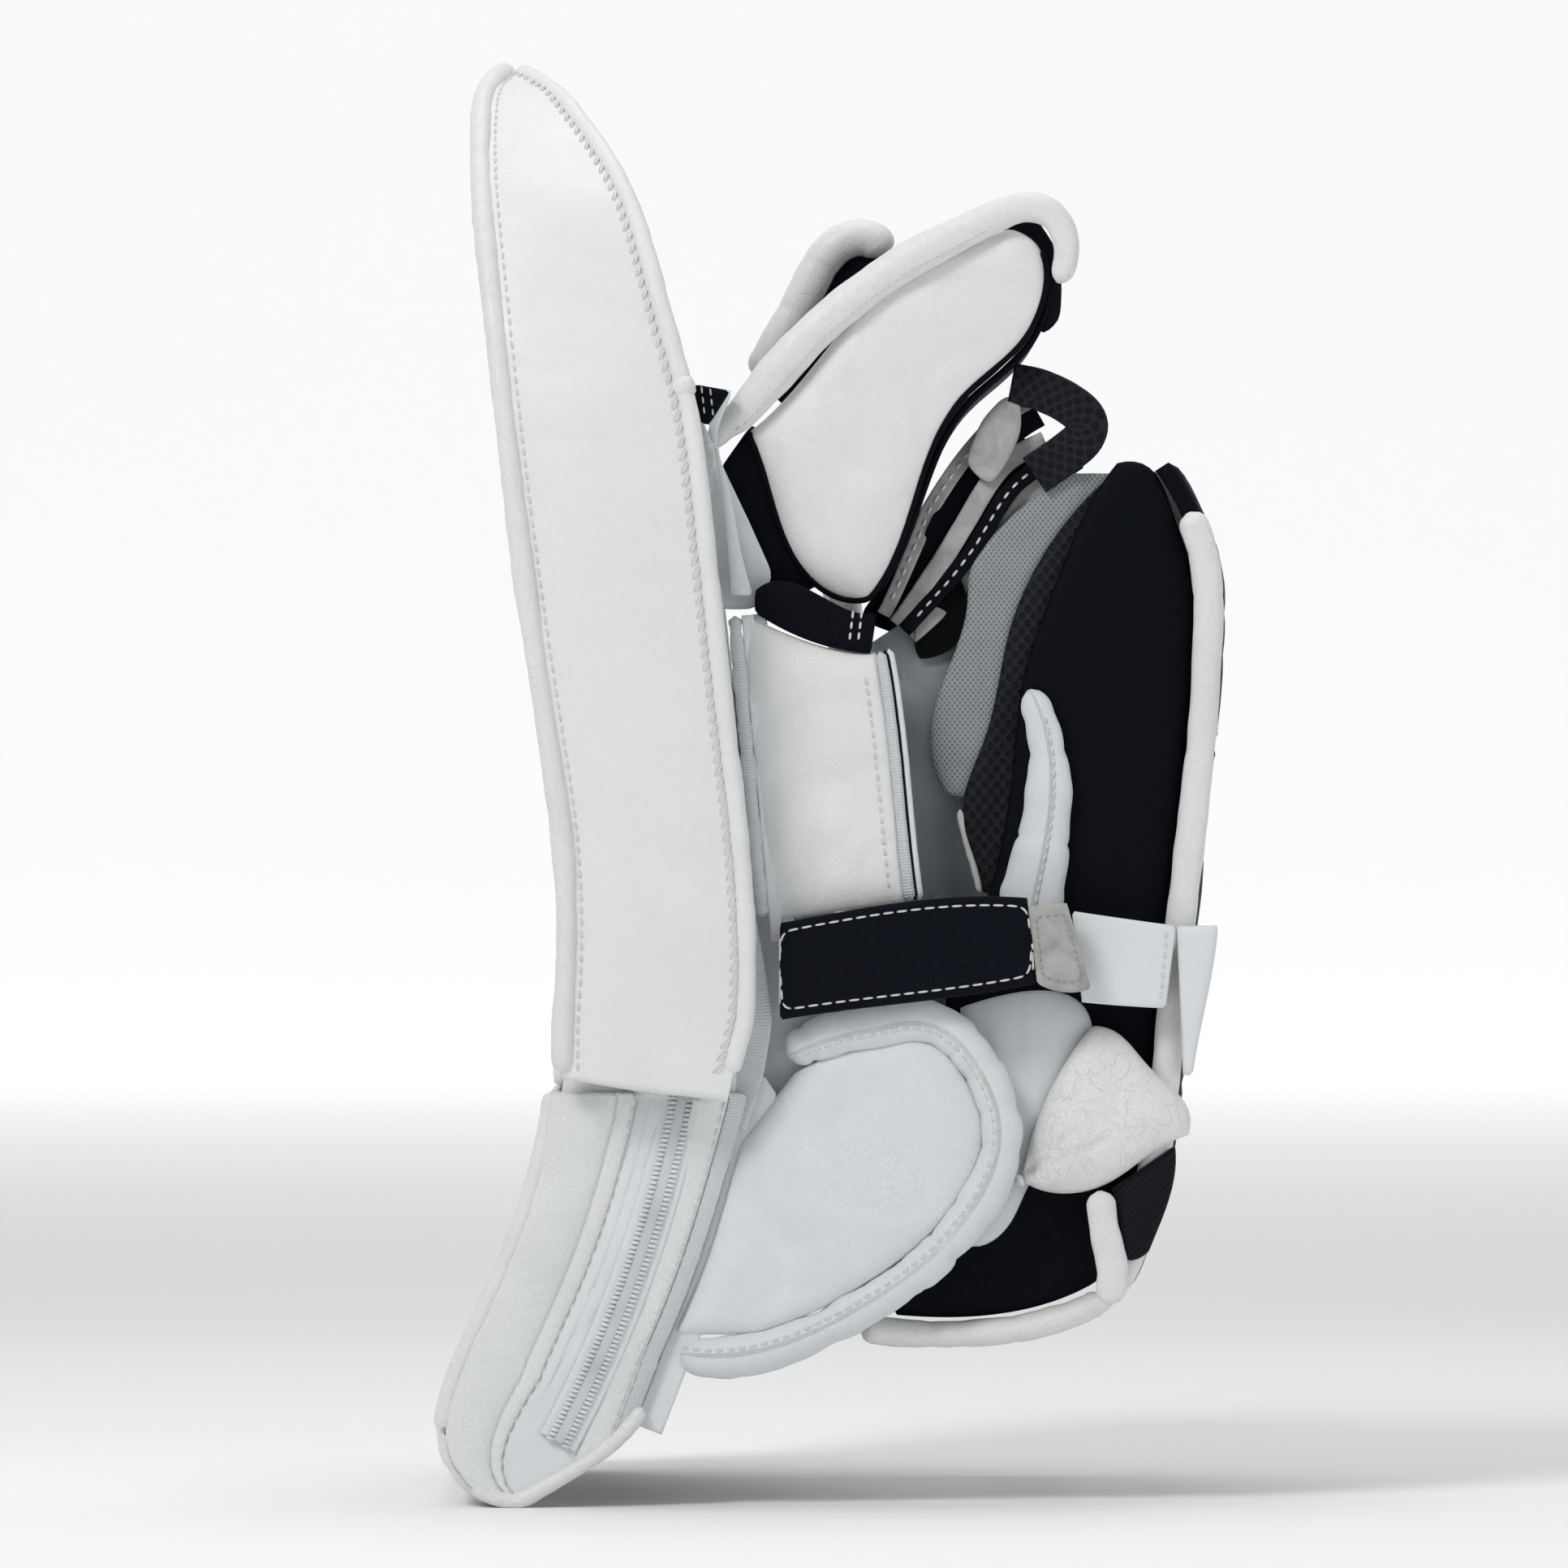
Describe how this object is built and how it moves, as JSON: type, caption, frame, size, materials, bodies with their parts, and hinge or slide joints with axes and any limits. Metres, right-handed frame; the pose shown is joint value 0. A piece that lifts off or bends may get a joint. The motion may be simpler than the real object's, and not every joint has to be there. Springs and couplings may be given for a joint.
{
  "type": "goalie catch glove",
  "caption": "Left-hand ice hockey goalie catch glove with palm break, laced pocket, finger and thumb guards, opening back shell, wrist strap and zipped cuff.",
  "frame": {"origin": "centre of the wrist opening, where the hand goes in", "axes": "+Z from the wrist to the fingertips, -X the catching side, +X the back of the hand, -Y the little-finger side, +Y the thumb side"},
  "size_m": [0.2332, 0.2597, 0.431],
  "materials": {
    "white_leather": "fine pebbled grain, satin",
    "band_leather": "smooth coated leather with fine creases, satin",
    "rolled_leather": "rolled and overcast edge, satin",
    "foam_core": "closed-cell foam",
    "stiff_board": "flexible moulded board",
    "white_nylon": "plain-woven coated nylon",
    "black_nylon": "fine-woven nylon",
    "black_twill": "twill with white stitching",
    "black_mesh": "spacer mesh with round holes",
    "grey_knit": "knitted mesh",
    "grey_lining": "brushed tricot",
    "grey_suede": "suede nap",
    "lace_leather": "lace leather, satin",
    "loop_webbing": "brushed loop tape with white edge stitching",
    "white_webbing": "smooth coated strap",
    "grosgrain": "ribbed ribbon",
    "zip_coil": "nylon coil",
    "zip_metal": "satin plated"
  },
  "bodies": {
    "root": {"finger_palm_leather": "white_leather", "finger_palm_core": "foam_core", "finger_back_board": "stiff_board", "finger_front_roll": "rolled_leather", "finger_perimeter_band": "band_leather", "finger_back_binding": "rolled_leather", "finger_top_bar": "band_leather", "finger_side_laces": "lace_leather", "cuff_front_leather": "white_leather", "cuff_core": "foam_core", "cuff_back_lining": "grey_lining", "cuff_edge_panel": "band_leather", "grosgrain_ribbon": "grosgrain", "zip_tape": "white_nylon", "zip_coils": "zip_coil", "band_flap": "band_leather", "side_panel": "white_leather", "side_panel_welt": "rolled_leather", "wrist_pad_roll": "white_nylon", "wrist_pad": "white_nylon", "back_fabric": "white_nylon", "twill_gusset": "black_twill", "inner_palm": "grey_suede", "inner_glove_back": "grey_lining", "finger_stall_straps": "grey_suede", "far_cuff_gusset": "black_nylon"},
    "zip_slider": {"zip_slider": "zip_metal"},
    "pocket": {"pocket_stem": "band_leather", "break_gusset": "band_leather"},
    "thumb": {"thumb_palm_leather": "white_leather", "thumb_palm_core": "foam_core", "thumb_back_board": "stiff_board", "thumb_front_roll": "rolled_leather", "thumb_perimeter_band": "band_leather", "thumb_back_binding": "rolled_leather", "thumb_top_bar": "band_leather", "thumb_side_laces": "lace_leather"},
    "thumb_guard": {"thumb_guard_pad": "white_leather", "thumb_guard_binding": "rolled_leather"},
    "finger_guard": {"guard_near_wing": "white_leather", "guard_back_panel": "black_nylon", "guard_far_wing": "black_nylon", "guard_binding": "rolled_leather", "guard_far_binding": "rolled_leather", "guard_lining": "black_nylon"},
    "back_shell": {"shell_near_wall": "black_nylon", "shell_far_wall": "black_nylon", "shell_back_board": "black_nylon", "shell_back_binding": "rolled_leather", "shell_bottom_binding": "rolled_leather", "spacer_mesh": "black_mesh", "knit_strip": "grey_knit", "wrist_wing": "white_nylon", "wing_roll": "white_nylon", "leather_tab": "white_leather", "textured_back_panel": "black_twill", "white_strap": "white_webbing", "strap_keeper": "white_webbing"},
    "wrist_strap": {"strap_webbing": "loop_webbing", "strap_tab": "grey_suede"}
  },
  "joints": [
    {"name": "palm_break", "type": "hinge", "parent": "root", "child": "thumb", "pos_m": [-0.114, 0.02, 0.06], "axis": [-0.0995, 0, 0.995], "range_deg": [0, 60]},
    {"name": "pocket_fold", "type": "hinge", "parent": "root", "child": "pocket", "pos_m": [-0.114, 0.02, 0.06], "axis": [-0.0995, 0, 0.995], "range_deg": [0, 30]},
    {"name": "thumb_guard_flex", "type": "hinge", "parent": "thumb", "child": "thumb_guard", "pos_m": [-0.058, 0.077, 0.09], "axis": [0, 1, 0], "range_deg": [0, 15]},
    {"name": "finger_guard_flex", "type": "hinge", "parent": "root", "child": "finger_guard", "pos_m": [-0.03, -0.04, 0.197], "axis": [0, 1, 0], "range_deg": [0, 10]},
    {"name": "back_shell_open", "type": "hinge", "parent": "root", "child": "back_shell", "pos_m": [-0.04, 0.074, 0.1], "axis": [0, 0, 1], "range_deg": [0, 30]},
    {"name": "wrist_strap_open", "type": "hinge", "parent": "root", "child": "wrist_strap", "pos_m": [-0.055, -0.10925, 0.09], "axis": [0, 0, -1], "range_deg": [0, 100]},
    {"name": "zip_slide", "type": "hinge", "parent": "root", "child": "zip_slider", "pos_m": [-0.4388, -0.11, 0.1201], "axis": [0, 1, 0], "range_deg": [0, 16.5]}
  ],
  "couplings": [
    {"joint": "pocket_fold", "follows": "palm_break", "ratio": 0.5}
  ]
}
